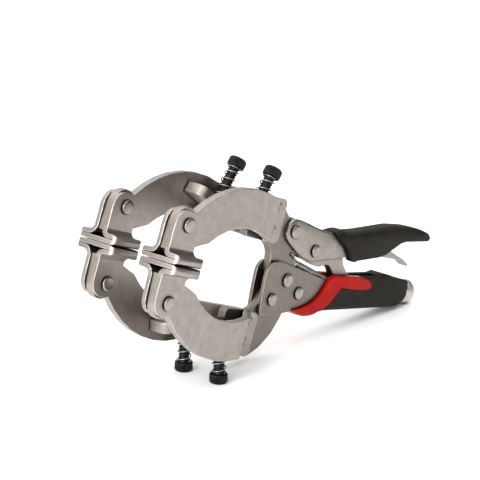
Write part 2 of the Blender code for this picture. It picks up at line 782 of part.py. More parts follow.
def make_screw(level, side, holder):
    """A socket head cap screw, drawn from its tip to the end of its head."""
    name = f"{LEVELS[level]}_{SIDES[side]}_screw"
    tip, way = screw_frame(level, side)
    top = screw_length + screw_head_height
    chamfer = screw_chamfer
    profile = [
        (0, top),
        (screw_head_radius - chamfer, top),
        (screw_head_radius, top - chamfer),
        (screw_head_radius, screw_length),
        (screw_radius, screw_length),
        (screw_radius, chamfer),
        (screw_radius - chamfer, 0),
        (0, 0),
    ]
    screw = turned(name, profile, tip, way)
    hexagon = [(0, top + overrun)]
    across = socket_across / math.sqrt(3)
    hexagon += [(across, top + overrun), (across, top - socket_depth), (0, top - socket_depth)]
    cut(screw, turned(f"{name}_socket", hexagon, tip, way, 6))
    return finish(screw, "black_oxide", holder)


def coil_points(start, run, radius, turns, steps, side):
    """A helix along a run, with a flat half turn at each end, that begins on the given side."""
    up = run.cross(side).normalized()
    count = round(turns * steps)
    points = []
    for i in range(count + 1):
        turn = turns * i / count
        share = min(max((turn - 0.5) / (turns - 1), 0), 1)
        around = side * math.cos(math.tau * turn) + up * math.sin(math.tau * turn)
        points.append(start + run * share + around * radius)
    return points


def wire(name, points, radius):
    """A round wire along a list of points, with capped ends."""
    curve = bpy.data.curves.new(name, "CURVE")
    curve.dimensions = "3D"
    curve.bevel_depth = radius
    curve.bevel_resolution = 2
    curve.use_fill_caps = True
    spline = curve.splines.new("POLY")
    spline.points.add(len(points) - 1)
    for point, place in zip(spline.points, points):
        point.co = (*place, 1)
    return as_mesh(mesh_object(name, curve))


def make_screw_spring(level, side, holder):
    name = f"{LEVELS[level]}_{SIDES[side]}_screw_spring"
    tip, way = screw_frame(level, side)
    low = lug_start + lug_thickness + gap + spring_wire / 2
    high = screw_length - gap - spring_wire / 2
    radius = screw_radius + spring_play + spring_wire / 2
    run = way * (high - low)
    points = coil_points(tip + way * low, run, radius, spring_turns, coil_steps, Vector((0, 1, 0)))
    return finish(wire(name, points, spring_wire / 2), "spring_steel", holder)


# Tangs

def movable_tang_outline():
    """The upper jaw's plate: fork, neck, lobe on the main rivet and head on the lever's rivet."""
    return rounded([
        *placed(movable_tang_left_shares, jaw_box),
        *arc(main_pivot, pivot_lobe, math.radians(195), math.radians(350)),
        *placed(movable_tang_right_shares, jaw_box),
        *arc(lever_pivot, lever_lobe, math.radians(-8), math.radians(108)),
        *placed(movable_tang_top_shares, jaw_box),
    ])


def fixed_tang_outline():
    """The lower jaw's plate, with a round seat below the movable tang's lobe."""
    seat = arc(main_pivot, pivot_lobe + 2 * gap, math.radians(-35), math.radians(-145))
    return rounded(placed(fixed_tang_shares, jaw_box) + seat)


def make_movable_tang(holder):
    tang = plate("movable_jaw_tang", movable_tang_outline(), -tang_half, tang_half)
    cut(tang, bore("main_hole", main_pivot, rivet_radius + gap, arm_spacing))
    cut(tang, bore("lever_hole", lever_pivot, rivet_radius + gap, arm_spacing))
    cut(tang, bore("spring_hole", hook_hole, hook_hole_radius, arm_spacing, small_steps))
    return finish(tang, "nickel_plate", holder)


def make_fixed_tang(holder):
    tang = plate("fixed_jaw_tang", fixed_tang_outline(), -tang_half, tang_half)
    for name, place in (("front_rivet_hole", front_rivet), ("back_rivet_hole", back_rivet)):
        cut(tang, bore(name, place, rivet_radius + gap, arm_spacing))
    return finish(tang, "nickel_plate", holder)


# Fixed handle

def along_handle(name, radius, start_x, length):
    """A round cutter on the adjusting screw's axis."""
    profile = [(0, length), (radius, length), (radius, 0), (0, 0)]
    return turned(name, profile, handle_axis(start_x), handle_way())


def handle_outline():
    return rounded(placed(handle_low_shares, handle_box) + placed(handle_top_shares, handle_box))


def handle_web():
    """The line of the channel's floor, from where it starts to the tail."""
    return raised([place for place in placed(handle_low_shares, handle_box) if place[0] > web_from_x], sheet)


def tongue_top():
    return on_line(handle_web(), tongue_x) + tongue_height


def flared(half_front, half_rear, start_x, end_x):
    """The top view of the channel, narrow over the jaws and wider round the screw."""
    lower = [
        (start_x, -half_front),
        (flare_from_x, -half_front, flare_round),
        (flare_to_x, -half_rear, flare_round),
        (end_x, -half_rear),
    ]
    return rounded(lower + [(u, -v, *rest) for u, v, *rest in reversed(lower)])


def make_fixed_handle(holder):
    """A channel folded upward, closed at its tail by the nut and open below the jaws."""
    front_x, top = handle_front_x - overrun, arm_outer_radius
    handle = plate("fixed_handle", handle_outline(), -arm_spacing, arm_spacing)
    keep(handle, slab("handle_plan", flared(handle_half, rear_half, front_x, knob_start_x), -top, top))
    nut_x = handle_end_x - nut_length
    web = handle_web()
    inside = [
        (front_x, -top),
        (web_from_x, -top),
        (web_from_x, web[0][1]),
        *web[:-1],
        (nut_x, on_line(web, nut_x)),
        (nut_x, top),
        (front_x, top),
    ]
    hollow = plate("handle_hollow", rounded(inside), -arm_spacing, arm_spacing)
    slot = flared(tang_half + gap, rear_inner / 2, front_x - overrun, knob_start_x + overrun)
    cut(handle, keep(hollow, slab("handle_slot", slot, -2 * top, 2 * top)))
    cut(handle, along_handle("nut_bore", adjuster_radius + gap, nut_x - overrun, nut_length + 3 * overrun))
    for i, place in enumerate((main_pivot, front_rivet, back_rivet)):
        cut(handle, bore(f"cheek_hole_{i}", place, rivet_radius + gap, arm_spacing))
    root_z = on_line(web, tongue_x) - sheet / 2
    tongue = [
        (tongue_x, root_z),
        (tongue_x + tongue_thickness, root_z),
        (tongue_x + tongue_thickness, tongue_top()),
        (tongue_x, tongue_top()),
    ]
    combine(handle, plate("spring_tongue", tongue, -tongue_width / 2, tongue_width / 2), "UNION")
    return finish(handle, "nickel_plate", holder)


# Fixed handle's grip and its trim

def grip_outline():
    """The side view of grip and trim together."""
    return rounded([
        *placed(grip_low_shares, handle_box),
        *placed(grip_top_shares, handle_box),
        *placed(trim_front_shares, handle_box)[:-1],
    ])


def trim_region():
    """The part of that side view that is red: a band up the front edge and a tongue along the side."""
    back = placed(trim_back_shares, handle_box)
    left = handle_front_x
    return rounded([
        (left, back[0][1] - overrun),
        (back[0][0] - rubber, back[0][1] - overrun),
        *back,
        (back[-1][0], back[-1][1] + overrun),
        (left, back[-1][1] + overrun),
    ])


def sleeve(name, proud):
    """The moulding round the channel, open on top as far as the hood."""
    top, wide = arm_outer_radius, grip_half + proud
    body = plate(name, grown(grip_outline(), proud), -wide, wide)
    soften(body, grip_round, 2)
    plan = flared(handle_half + gap + rubber + proud, wide, handle_front_x, grip_end_x + overrun)
    keep(body, slab(f"{name}_outside", plan, -top, top))
    channel = plate(f"{name}_channel", grown(handle_outline(), gap), -wide, wide)
    plan = flared(handle_half + gap, rear_half + gap, handle_front_x - overrun, grip_end_x)
    cut(body, keep(channel, slab(f"{name}_inside", plan, -top, top)))
    low, high = handle_axis(handle_front_x).z, handle_axis(hood_from_x).z
    opening = [(handle_front_x, low), (hood_from_x, high), (hood_from_x, top), (handle_front_x, top)]
    cut(body, plate(f"{name}_opening", opening, -rear_inner / 2, rear_inner / 2))
    through = grip_end_x - hood_from_x + 2 * overrun
    return cut(body, along_handle(f"{name}_bore", adjuster_radius + 2 * gap, hood_from_x, through))


def make_grip(holder):
    grip = sleeve("fixed_handle_grip", 0)
    cut(grip, plate("grip_trim_space", grown(trim_region(), gap), -arm_spacing, arm_spacing))
    return finish(grip, "black_rubber", holder)


def make_trim(holder):
    trim = sleeve("grip_trim", trim_proud)
    keep(trim, plate("trim_shape", trim_region(), -arm_spacing, arm_spacing))
    return finish(trim, "red_trim", holder)


# Adjusting screw and knob

def make_adjuster(slide_holder, knob_holder):
    length = (knob_start_x - gap - adjuster_tip_x) / math.cos(handle_slope)
    radius, chamfer = adjuster_radius, screw_chamfer
    profile = [(0, length), (radius, length), (radius, chamfer), (radius - chamfer, 0), (0, 0)]
    screw = turned("adjusting_screw", profile, handle_axis(adjuster_tip_x), handle_way(), small_steps)
    finish(screw, "spring_steel", slide_holder)
    angles = [math.pi / 2 * i / dome_steps for i in range(dome_steps + 1)]
    dome = [(knob_radius * math.sin(a), knob_length - knob_dome * (1 - math.cos(a))) for a in angles]
    profile = dome + [(knob_radius, chamfer), (knob_radius - chamfer, 0), (0, 0)]
    knob = turned("adjusting_knob", profile, handle_axis(knob_start_x), handle_way())
    return finish(knob, "zinc_knob", knob_holder)


# Lever and its grip

def lever_outline():
    """The side view of the lever, from its lobe on the jaw's head to its tail."""
    lobe = arc(lever_pivot, lever_eye, math.radians(92), math.radians(250))
    return rounded(placed(lever_low_shares, lever_box) + placed(lever_top_shares, lever_box) + lobe)


def lever_plan(half_front, half_rear, start_x, end_x):
    lower = [
        (start_x, -half_front),
        (lever_flare_from_x, -half_front, flare_round),
        (lever_flare_to_x, -half_rear, flare_round),
        (end_x, -half_rear),
    ]
    return rounded(lower + [(u, -v, *rest) for u, v, *rest in reversed(lower)])


def lever_hollow():
    """The space inside the lever's channel, open below and round the jaw's head."""
    high = arm_outer_radius
    left, right = lever_left_x - overrun, lever_left_x + lever_length
    under = raised(placed(lever_top_shares, lever_box), -sheet)
    hollow = plate("lever_hollow", rounded([
        (left, 0),
        (right, 0),
        (right, under[0][1]),
        *under[1:-1],
        (lever_web_x, under[-1][1]),
        (lever_web_x, high),
        (left, high),
    ]), -arm_spacing, arm_spacing)
    plan = lever_plan(tang_half + gap, rear_inner / 2, left - overrun, right + overrun)
    return keep(hollow, slab("lever_hollow_plan", plan, -overrun, high + overrun))


def make_lever(holder):
    """A channel folded downward over the link, with round eyes on the jaw's head."""
    left, right, top = lever_left_x - overrun, lever_left_x + lever_length, arm_outer_radius
    lever = plate("lever", lever_outline(), -arm_spacing, arm_spacing)
    keep(lever, slab("lever_plan", lever_plan(handle_half, rear_half, left, right), -top, top))
    soften(lever, lever_edge, 2)
    cut(lever, lever_hollow())
    for name, place in (("lever_jaw_hole", lever_pivot), ("lever_link_hole", toggle_pivot)):
        cut(lever, bore(name, place, rivet_radius + gap, arm_spacing))
    cut(lever, bore("lever_pin_hole", release_pin, release_pin_radius + gap, arm_spacing, small_steps))
    return finish(lever, "plated_lever", holder)


def lever_grip_outline():
    return rounded([
        *placed(lever_grip_low_shares, lever_box),
        *placed(lever_grip_top_shares, lever_box),
        *placed(lip_front_shares, lever_box),
    ])


def make_lever_grip(holder):
    """The lever's moulding, with a raised lip along its front edge."""
    wide, top = grip_half + lip_proud, arm_outer_radius
    grip = plate("lever_grip", lever_grip_outline(), -grip_half, grip_half)
    lip = plate("lever_lip", grown(lever_grip_outline(), lip_proud), -wide, wide)
    front, back = placed(lip_front_shares, lever_box), placed(lip_back_shares, lever_box)
    band = rounded([(front[-1][0], 0), *back, (front[0][0], top), (lever_left_x, top), (lever_left_x, 0)])
    keep(soften(lip, grip_round, 2), plate("lever_lip_band", band, -arm_spacing, arm_spacing))
    combine(soften(grip, grip_round, 2), lip, "UNION")
    channel = plate("lever_grip_channel", grown(lever_outline(), gap), -arm_spacing, arm_spacing)
    plan = lever_plan(handle_half + gap, rear_half + gap, lever_left_x - overrun, lever_left_x + 2 * lever_length)
    keep(channel, slab("lever_grip_plan", plan, -top, top))
    cut(grip, soften(channel, lever_edge, 2))
    under = raised(placed(lever_low_shares, lever_box), sheet)
    slot = [(under[0][0], 0), (under[-1][0], 0), *reversed(under)]
    cut(grip, plate("lever_grip_slot", rounded(slot), -rear_inner / 2, rear_inner / 2))
    return finish(grip, "black_rubber", holder)


# Toggle link and release lever

def link_end():
    """The centre of the link's round end, ahead of the adjusting screw's tip."""
    place = handle_axis(adjuster_tip_x) - handle_way() * (link_end_radius + link_play)
    return (place.x, place.z)


def make_link(holder):
    half = link_thickness / 2
    end = arc(link_end(), link_end_radius, math.radians(215), math.radians(395))
    outline = placed(link_low_shares, link_box) + end + placed(link_top_shares, link_box)
    link = plate("toggle_link", rounded(outline), -half, half)
    cut(link, bore("link_hole", toggle_pivot, rivet_radius + gap, arm_spacing))
    return finish(link, "plated_lever", holder)


def make_release(holder):
    """A pressed lever: two cheeks on the pin, a floor between them and a flat thumb tail."""
    half = release_width / 2
    release = plate("release_lever", rounded(placed(release_shares, lever_box)), -half, half)
    inside = half - release_sheet
    cut(release, plate("release_inside", placed(release_floor_shares, lever_box), -inside, inside))
    cut(release, bore("release_hole", release_pin, release_pin_radius + gap, arm_spacing, small_steps))
    return finish(release, "plated_lever", holder)


# Return spring

def make_return_spring(holder):
    """A tension coil, hooked through the neck's hole and round the channel's tongue."""
    radius = return_wire / 2
    beside = tang_half + gap + radius
    past = tongue_width / 2 + gap + radius
    behind = tongue_x + tongue_thickness + gap + radius
    hook_z = tongue_top() - tongue_hook_drop
    hole = Vector((hook_hole[0], 0, hook_hole[1]))
    start = hole + Vector((coil_start_run, 0, -coil_start_drop))
    end = Vector((tongue_x - coil_end_short, 0, hook_z + coil_end_rise))
    front = Vector((0, -1, 0))
    points = [hole - front * beside, hole + front * beside]
    points.append(hole + (start - hole) * hook_share + front * beside)
    points += coil_points(start, end - start, return_radius, return_turns, return_steps, front)
    points.append(Vector((tongue_x - tongue_thickness, -past, hook_z + 2 * gap)))
    points += [Vector((behind, -past, hook_z)), Vector((behind, past, hook_z))]
    points.append(Vector((tongue_x - tongue_thickness, past, hook_z + gap)))
    return finish(wire("return_spring", points, radius), "spring_steel", holder)


# The assembly

def clear_scene():
    for thing in list(bpy.data.objects):
        bpy.data.objects.remove(thing)


def new_collection(name):
    collection = bpy.data.collections.new(name)
    bpy.context.scene.collection.children.link(collection)
    return collection


def stand(root):
    """Tips the tool onto its lower screw heads and its knob, then centres it over the origin."""
    root.rotation_mode = "XYZ"
    root.rotation_euler = (0, standing_lean(), 0)
    bpy.context.view_layer.update()
    graph = bpy.context.evaluated_depsgraph_get()
    corners = []
    for thing in parts.objects:
        shape = thing.evaluated_get(graph)
        mesh = shape.to_mesh()
        corners += [shape.matrix_world @ vertex.co for vertex in mesh.vertices]
        shape.to_mesh_clear()
    low = [min(c[i] for c in corners) for i in range(3)]
    high = [max(c[i] for c in corners) for i in range(3)]
    root.location -= Vector(((low[0] + high[0]) / 2, (low[1] + high[1]) / 2, low[2]))
    bpy.context.view_layer.update()


clear_scene()
parts = new_collection(NAME)
guides = new_collection(f"{NAME}_cutters")
root = pivot("fixed_jaw_body", (0, 0, 0), (0, 0, 1), None)
jaw = hinge("movable_jaw_body", main_pivot, root)
lever_body = hinge("lever_body", lever_pivot, jaw)
link_body = hinge("toggle_link_body", toggle_pivot, lever_body)
release_body = hinge("release_lever_body", release_pin, lever_body)
screw_start = handle_axis(adjuster_tip_x)
adjuster_body = pivot("adjusting_screw_body", screw_start, handle_way(), root)
knob_body = pivot("adjusting_knob_body", screw_start, handle_way(), adjuster_body)

make_fixed_handle(root)
make_grip(root)
make_trim(root)
make_fixed_tang(root)
make_adjuster(adjuster_body, knob_body)
rivet("main_pivot_rivet", main_pivot, 0, rivet_radius, main_head_radius, handle_half, root)
for number, place in enumerate((front_rivet, back_rivet), 1):
    rivet(f"jaw_rivet_{number}", place, 0, rivet_radius, small_head_radius, handle_half, root)
make_movable_tang(jaw)
rivet("lever_pivot_rivet", lever_pivot, 0, rivet_radius, main_head_radius, handle_half, jaw)
make_lever(lever_body)
make_lever_grip(lever_body)
rivet("toggle_rivet", toggle_pivot, 0, rivet_radius, small_head_radius, handle_half, lever_body)
make_link(link_body)
make_release(release_body)
pin_half = rear_half - gap
pin_profile = [(0, pin_half), (release_pin_radius, pin_half), (release_pin_radius, -pin_half), (0, -pin_half)]
pin_place = (release_pin[0], 0, release_pin[1])
finish(turned("release_lever_pin", pin_profile, pin_place, (0, 1, 0), small_steps), "rivet_steel", lever_body)
make_return_spring(root)

for level, jaw_holder in ((UPPER, jaw), (LOWER, root)):
    for side in (FRONT, REAR):
        label = f"{LEVELS[level]}_{SIDES[side]}"
        make_arm(level, side, jaw_holder)
        make_lug(level, side, jaw_holder)
        rivet_place = (0, level * rivet_height)
        rivet(f"{label}_pad_rivet", rivet_place, side * arm_y, pad_rivet_radius, pad_rivet_head, ear_outer, jaw_holder)
        make_pad(level, side, pivot(f"{label}_pad_body", (0, side * arm_y, level * rivet_height), (0, 1, 0), jaw_holder))
        tip, way = screw_frame(level, side)
        travel = pivot(f"{label}_screw_travel_body", tip, way, jaw_holder)
        make_screw_spring(level, side, travel)
        make_screw(level, side, pivot(f"{label}_screw_body", tip, way, travel))

stand(root)
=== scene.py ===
import json
import math

import bmesh
import bpy
from mathutils import Matrix, Vector

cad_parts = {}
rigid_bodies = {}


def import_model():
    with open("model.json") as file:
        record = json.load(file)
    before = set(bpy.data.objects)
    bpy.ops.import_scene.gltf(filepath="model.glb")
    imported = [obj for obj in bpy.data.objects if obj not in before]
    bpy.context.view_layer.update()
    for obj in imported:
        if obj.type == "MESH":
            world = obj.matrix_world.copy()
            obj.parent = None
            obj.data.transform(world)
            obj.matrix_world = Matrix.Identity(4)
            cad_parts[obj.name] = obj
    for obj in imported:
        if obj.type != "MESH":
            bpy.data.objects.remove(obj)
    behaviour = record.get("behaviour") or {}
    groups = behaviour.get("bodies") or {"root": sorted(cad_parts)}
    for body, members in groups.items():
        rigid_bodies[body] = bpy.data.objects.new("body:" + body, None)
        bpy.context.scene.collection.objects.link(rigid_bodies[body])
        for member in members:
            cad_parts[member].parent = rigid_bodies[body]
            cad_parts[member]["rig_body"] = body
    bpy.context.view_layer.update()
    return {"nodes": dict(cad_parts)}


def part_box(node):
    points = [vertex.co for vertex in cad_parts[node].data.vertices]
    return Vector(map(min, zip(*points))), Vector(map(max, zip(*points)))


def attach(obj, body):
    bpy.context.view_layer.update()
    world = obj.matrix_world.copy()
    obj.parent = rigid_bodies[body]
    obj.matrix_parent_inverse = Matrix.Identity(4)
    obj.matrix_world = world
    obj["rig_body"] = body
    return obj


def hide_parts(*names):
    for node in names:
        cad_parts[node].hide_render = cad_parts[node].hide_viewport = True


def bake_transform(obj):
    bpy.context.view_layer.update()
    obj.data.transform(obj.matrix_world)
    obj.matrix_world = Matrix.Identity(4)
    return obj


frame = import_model()

# The picture: the camera stands where the photograph was taken from. Its place is in the tool's own
# frame, in millimetres: X runs back from the pads, Y to the rear side, and Z up from the line on
# which the pads meet.
MM = 0.001
LEAN = math.radians(19.4204)
ORIGIN = Vector((-0.14485, 0, 0.10187))
STAND = Matrix.Translation(ORIGIN) @ Matrix.Rotation(LEAN, 4, "Y")
CAMERA_PLACE = (-1061.5, -912.5, 76.3)
CAMERA_RIGHT = (0.6057, -0.7539, 0.2546)
CAMERA_AHEAD = (0.7851, 0.6183, -0.0370)
LENS = 161.8
SENSOR = 36
FAR_CLIP = 20


def at(x, y, z):
    """A place in the tool's own frame, in millimetres, as a place in the world."""
    return STAND @ (Vector((x, y, z)) * MM)


def heading(x, y, z):
    """A direction in the tool's own frame as a direction in the world."""
    return (STAND.to_3x3() @ Vector((x, y, z))).normalized()


def linked(name, data):
    """A new object in the scene that holds this data."""
    made = bpy.data.objects.new(name, data)
    bpy.context.scene.collection.objects.link(made)
    return made


sight = bpy.data.cameras.new("camera")
sight.lens = LENS
sight.sensor_width = SENSOR
sight.clip_end = FAR_CLIP
camera = linked("camera", sight)
right = heading(*CAMERA_RIGHT)
ahead = heading(*CAMERA_AHEAD)
bearings = Matrix((right, right.cross(ahead), -ahead)).transposed()
camera.matrix_world = Matrix.LocRotScale(at(*CAMERA_PLACE), bearings, None)
bpy.context.scene.camera = camera

# The floor: one wide sheet of white paper, laid level under the tool. It is quite matt, and its
# fibres give it a faint cloudiness.
FLOOR_HALF = 4
PAPER_CLOUD = 40 * MM


def linear(code):
    """An sRGB hex colour as linear red, green, blue and alpha."""
    parts = [int(code[i:i + 2], 16) / 255 for i in (0, 2, 4)]
    return (*[p / 12.92 if p <= 0.04045 else ((p + 0.055) / 1.055) ** 2.4 for p in parts], 1)


def add(tree, kind, settings=None, links=()):
    """Adds a node with its settings, and links (its socket, the other node, that node's output)."""
    made = tree.nodes.new(kind)
    for key, value in (settings or {}).items():
        if key == "stops":
            for stop, (place, colour) in zip(made.color_ramp.elements, value):
                stop.position, stop.color = place, colour
        elif isinstance(key, int) or key in made.inputs:
            made.inputs[key].default_value = value
        else:
            setattr(made, key, value)
    for socket, source, output in links:
        tree.links.new(source.outputs[output], made.inputs[socket])
    return made


def new_material(name, settings):
    """A material with its shader's plain settings, and the coordinates that its patterns lie in."""
    material = bpy.data.materials.new(name)
    material.use_nodes = True
    tree = material.node_tree
    shader = tree.nodes["Principled BSDF"]
    for key, value in settings.items():
        shader.inputs[key].default_value = value
    return material, tree, shader, add(tree, "ShaderNodeTexCoord")


def mesh_of(name, work):
    """The finished mesh of a worked form, which is freed."""
    mesh = bpy.data.meshes.new(name)
    work.to_mesh(mesh)
    work.free()
    return mesh


paper, tree, shader, place = new_material("white_backdrop_paper", {"Roughness": 0.9})
fibre = add(tree, "ShaderNodeTexNoise", {"Scale": 1 / PAPER_CLOUD, "Detail": 3},
            [("Vector", place, "Object")])
tone = add(tree, "ShaderNodeValToRGB", {"stops": [(0.3, linear("fafaf9")), (0.7, linear("fdfdfd"))]},
           [("Fac", fibre, "Fac")])
tree.links.new(tone.outputs["Color"], shader.inputs["Base Color"])
work = bmesh.new()
bmesh.ops.create_grid(work, x_segments=8, y_segments=8, size=FLOOR_HALF)
floor = linked("floor", mesh_of("floor", work))
floor.data.materials.append(paper)

# The studio: a bright room with three soft boxes. A dark screen stands to the right of the camera,
# where the jaws' flat sides mirror it, so that they stay a middle grey between their bright rims.
SCREEN_WAY = (0.80, -0.60, -0.05)
world = bpy.data.worlds.new("studio")
world.use_nodes = True
bpy.context.scene.world = world
tree = world.node_tree
room = tree.nodes["Background"]
toward = add(tree, "ShaderNodeTexCoord")
screen = add(tree, "ShaderNodeVectorMath", {"operation": "DOT_PRODUCT", 1: SCREEN_WAY},
             [(0, toward, "Generated")])
wall = add(tree, "ShaderNodeMapRange", {"From Min": 1, "From Max": 0.1}, [("Value", screen, "Value")])
shade = add(tree, "ShaderNodeValToRGB", {"stops": [(0.25, linear("4a4846")), (0.85, linear("ffffff"))]},
            [("Fac", wall, "Result")])
tree.links.new(shade.outputs["Color"], room.inputs["Color"])
room.inputs["Strength"].default_value = 0.8


def soft_box(name, place, aim, size, power):
    """A soft box of a size in metres and a power in watts, turned to face the place it is aimed at."""
    box = bpy.data.lights.new(name, "AREA")
    box.shape = "RECTANGLE"
    box.size, box.size_y = size
    box.energy = power
    lamp = linked(name, box)
    lamp.location = place
    lamp.rotation_mode = "QUATERNION"
    lamp.rotation_quaternion = (Vector(aim) - Vector(place)).to_track_quat("-Z", "Y")


soft_box("top_box", place=(0.0, 0.1, 1.5), aim=(0, 0, 0.05), size=(2.8, 2.4), power=22)
soft_box("left_box", place=(-1.3, -0.2, 0.6), aim=(0, 0, 0.07), size=(0.8, 0.8), power=13)
soft_box("front_box", place=(-0.5, -1.4, 0.7), aim=(0, 0, 0.07), size=(0.9, 0.6), power=3)

# The fixed handle: one channel of sheet steel, blanked, folded up, blasted and nickel plated. It
# carries every other piece. Its flats are a warm satin grey with faint cloudy patches, and its edges,
# rubbed in the tumbling drum, are smoother and painted lighter, as wear and as a painted highlight.
EDGE = 0.8 * MM
SEAM = 2.5 * MM
# Points nearer than this are joined, and facets that turn by less than this are one flat.
SAME_POINT = 0.01 * MM
SAME_FLAT = math.radians(1)


def edge_wear_and_highlight(tree, most=1.0):
    """Nodes for rounded edges: the softened normal, and a mask that rises to most along the edges."""
    rounded = add(tree, "ShaderNodeBevel", {"Radius": EDGE, "samples": 6})
    flat = add(tree, "ShaderNodeNewGeometry")
    turn = add(tree, "ShaderNodeVectorMath", {"operation": "DOT_PRODUCT"},
               [(0, rounded, "Normal"), (1, flat, "Normal")])
    edge = add(tree, "ShaderNodeMapRange", {"From Min": 0.985, "From Max": 0.86, "To Max": most},
               [("Value", turn, "Value")])
    return rounded, edge


def plated_steel(name, pale, dark, rim, roughness, grain, relief):
    """Plated steel: its two face colours, its rim colour, and its grain's width and depth."""
    material, tree, shader, place = new_material(name, {"Metallic": 1.0})
    cloud = add(tree, "ShaderNodeTexNoise", {"Scale": 1 / (9 * grain), "Detail": 5, "Roughness": 0.6},
                [("Vector", place, "Object")])
    grit = add(tree, "ShaderNodeTexNoise", {"Scale": 1 / grain, "Detail": 3, "Roughness": 0.7},
               [("Vector", place, "Object")])
    mottle = add(tree, "ShaderNodeMath", {"operation": "MULTIPLY_ADD", 1: 0.55},
                 [(0, grit, "Fac"), (2, cloud, "Fac")])
    face = add(tree, "ShaderNodeValToRGB", {"stops": [(0.50, linear(dark)), (1.05, linear(pale))]},
               [("Fac", mottle, "Value")])
    # Painted shade: the seams are darkened over about 2.5 mm, where the faces nearby shut out the light.
    seam = add(tree, "ShaderNodeAmbientOcclusion", {"samples": 6, "Distance": SEAM})
    open_face = add(tree, "ShaderNodeMapRange", {"From Min": 0.25, "From Max": 0.85}, [("Value", seam, "AO")])
    seam_shaded = add(tree, "ShaderNodeMix", {"data_type": "RGBA", 6: linear("3d3833")},
                 [(0, open_face, "Result"), (7, face, "Color")])
    # Along the edges the peaks of the grain are rubbed smooth, in specks, and painted pale: wear and a
    # painted highlight.
    rounded, edge = edge_wear_and_highlight(tree)
    speck = add(tree, "ShaderNodeMapRange", {"From Min": 0.36, "From Max": 0.58}, [("Value", grit, "Fac")])
    wear_and_highlight = add(tree, "ShaderNodeMath", {"operation": "MULTIPLY"}, [(0, edge, "Result"), (1, speck, "Result")])
    colour = add(tree, "ShaderNodeMix", {"data_type": "RGBA", 7: linear(rim)},
                 [(0, wear_and_highlight, "Value"), (6, seam_shaded, 2)])
    tree.links.new(colour.outputs[2], shader.inputs["Base Color"])
    dull = add(tree, "ShaderNodeMapRange", {"To Min": roughness - 0.07, "To Max": roughness + 0.09},
               [("Value", grit, "Fac")])
    smooth = add(tree, "ShaderNodeMath", {"operation": "MULTIPLY_ADD", 1: -0.16},
                 [(0, wear_and_highlight, "Value"), (2, dull, "Result")])
    tree.links.new(smooth.outputs["Value"], shader.inputs["Roughness"])
    bump = add(tree, "ShaderNodeBump", {"Strength": 0.5, "Distance": relief},
               [("Height", mottle, "Value"), ("Normal", rounded, "Normal")])
    tree.links.new(bump.outputs["Normal"], shader.inputs["Normal"])
    return material


def settle(mesh, finish, node):
    """Puts a mesh in the scene with its finish, on the body of the CAD node that it stands for."""
    mesh.materials.append(finish)
    piece = linked(mesh.name, mesh)
    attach(piece, frame["nodes"][node]["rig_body"])
    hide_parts(node)
    return piece


def dressed(name, finish, bevel, segments=2, crease=35, soften=None):
    """A cleaned copy of a CAD solid that stands for it: its flats are joined up, and its edges are
    rounded where they turn by more than the crease, in degrees. A soften step may reshape it first."""
    mesh = frame["nodes"][name].data.copy()
    mesh.name = f"{name}_dressed"
    mesh.materials.clear()
    work = bmesh.new()
    work.from_mesh(mesh)
    bmesh.ops.remove_doubles(work, verts=work.verts, dist=SAME_POINT)
    bmesh.ops.dissolve_limit(work, angle_limit=SAME_FLAT, verts=work.verts, edges=work.edges)
    if soften:
        soften(work)
    bmesh.ops.recalc_face_normals(work, faces=work.faces)
    for face in work.faces:
        face.smooth = True
    work.to_mesh(mesh)
    work.free()
    if "custom_normal" in mesh.attributes:
        mesh.attributes.remove(mesh.attributes["custom_normal"])
    round_off = settle(mesh, finish, name).modifiers.new("edges", "BEVEL")
    round_off.width = bevel
    round_off.segments = segments
    round_off.limit_method = "ANGLE"
    round_off.angle_limit = math.radians(crease)
    round_off.harden_normals = True


# A blasted grain of about 0.2 mm is too fine to show, so it is drawn at 0.7 mm.
BLASTED_GRAIN = 0.7 * MM
sheet_nickel = plated_steel("nickel_plated_sheet", pale="8a847e", dark="7d7771", rim="eee9e2",
                            roughness=0.42, grain=BLASTED_GRAIN, relief=0.06 * MM)
dressed("fixed_handle", sheet_nickel, bevel=0.35 * MM)

# The tangs: two flat 6 mm plates, blanked and plated like the handle. One is riveted between the
# handle's cheeks, and the other swings there on the main rivet.
dressed("fixed_jaw_tang", sheet_nickel, bevel=0.5 * MM)
dressed("movable_jaw_tang", sheet_nickel, bevel=0.5 * MM)

# The arms: four 5 mm plates, cut out, joggled in a press and stitch welded to the tangs' sides. Their
# blasted nickel is a shade paler than that of the rolled sheet, with specks on the edges painted bright
# as wear and as a highlight.
QUARTERS = ["upper_front", "upper_rear", "lower_front", "lower_rear"]
satin_nickel = plated_steel("blasted_nickel_plate", pale="a8a19b", dark="958f89", rim="f4f1ec",
                            roughness=0.42, grain=BLASTED_GRAIN, relief=0.1 * MM)
for quarter in QUARTERS:
    dressed(f"{quarter}_arm", satin_nickel, bevel=0.7 * MM, segments=3)

# The welds: short stitches of bead, laid where each arm's foot lies on its tang and plated with the
# rest. Each is a row of overlapping ripples, half sunk in the plate.
# The places are in the tool's own frame. They and the bead's sizes are in millimetres.
WELD_REACH = 8.2
WELD_FRONT, WELD_BACK = 119.6, 120.2
UPPER_STITCHES = ((47, 53.5), (31.5, 36.5))
LOWER_STITCHES = ((-33.5, -28), (-49, -43))
BEAD_HALF_WIDTH = 2.0
BEAD_HEIGHT = 1.8
BEAD_RINGS = 22
BEAD_SIDES = 10
# The ends taper over a small share of the length. The ripples and the sideways wander each turn by
# so many radians from ring to ring.
BEAD_TAPER = 0.04
BEAD_FULLNESS = 0.4
RIPPLE, RIPPLE_STEP = 0.16, 1.9
WANDER, WANDER_STEP = 0.25, 0.8


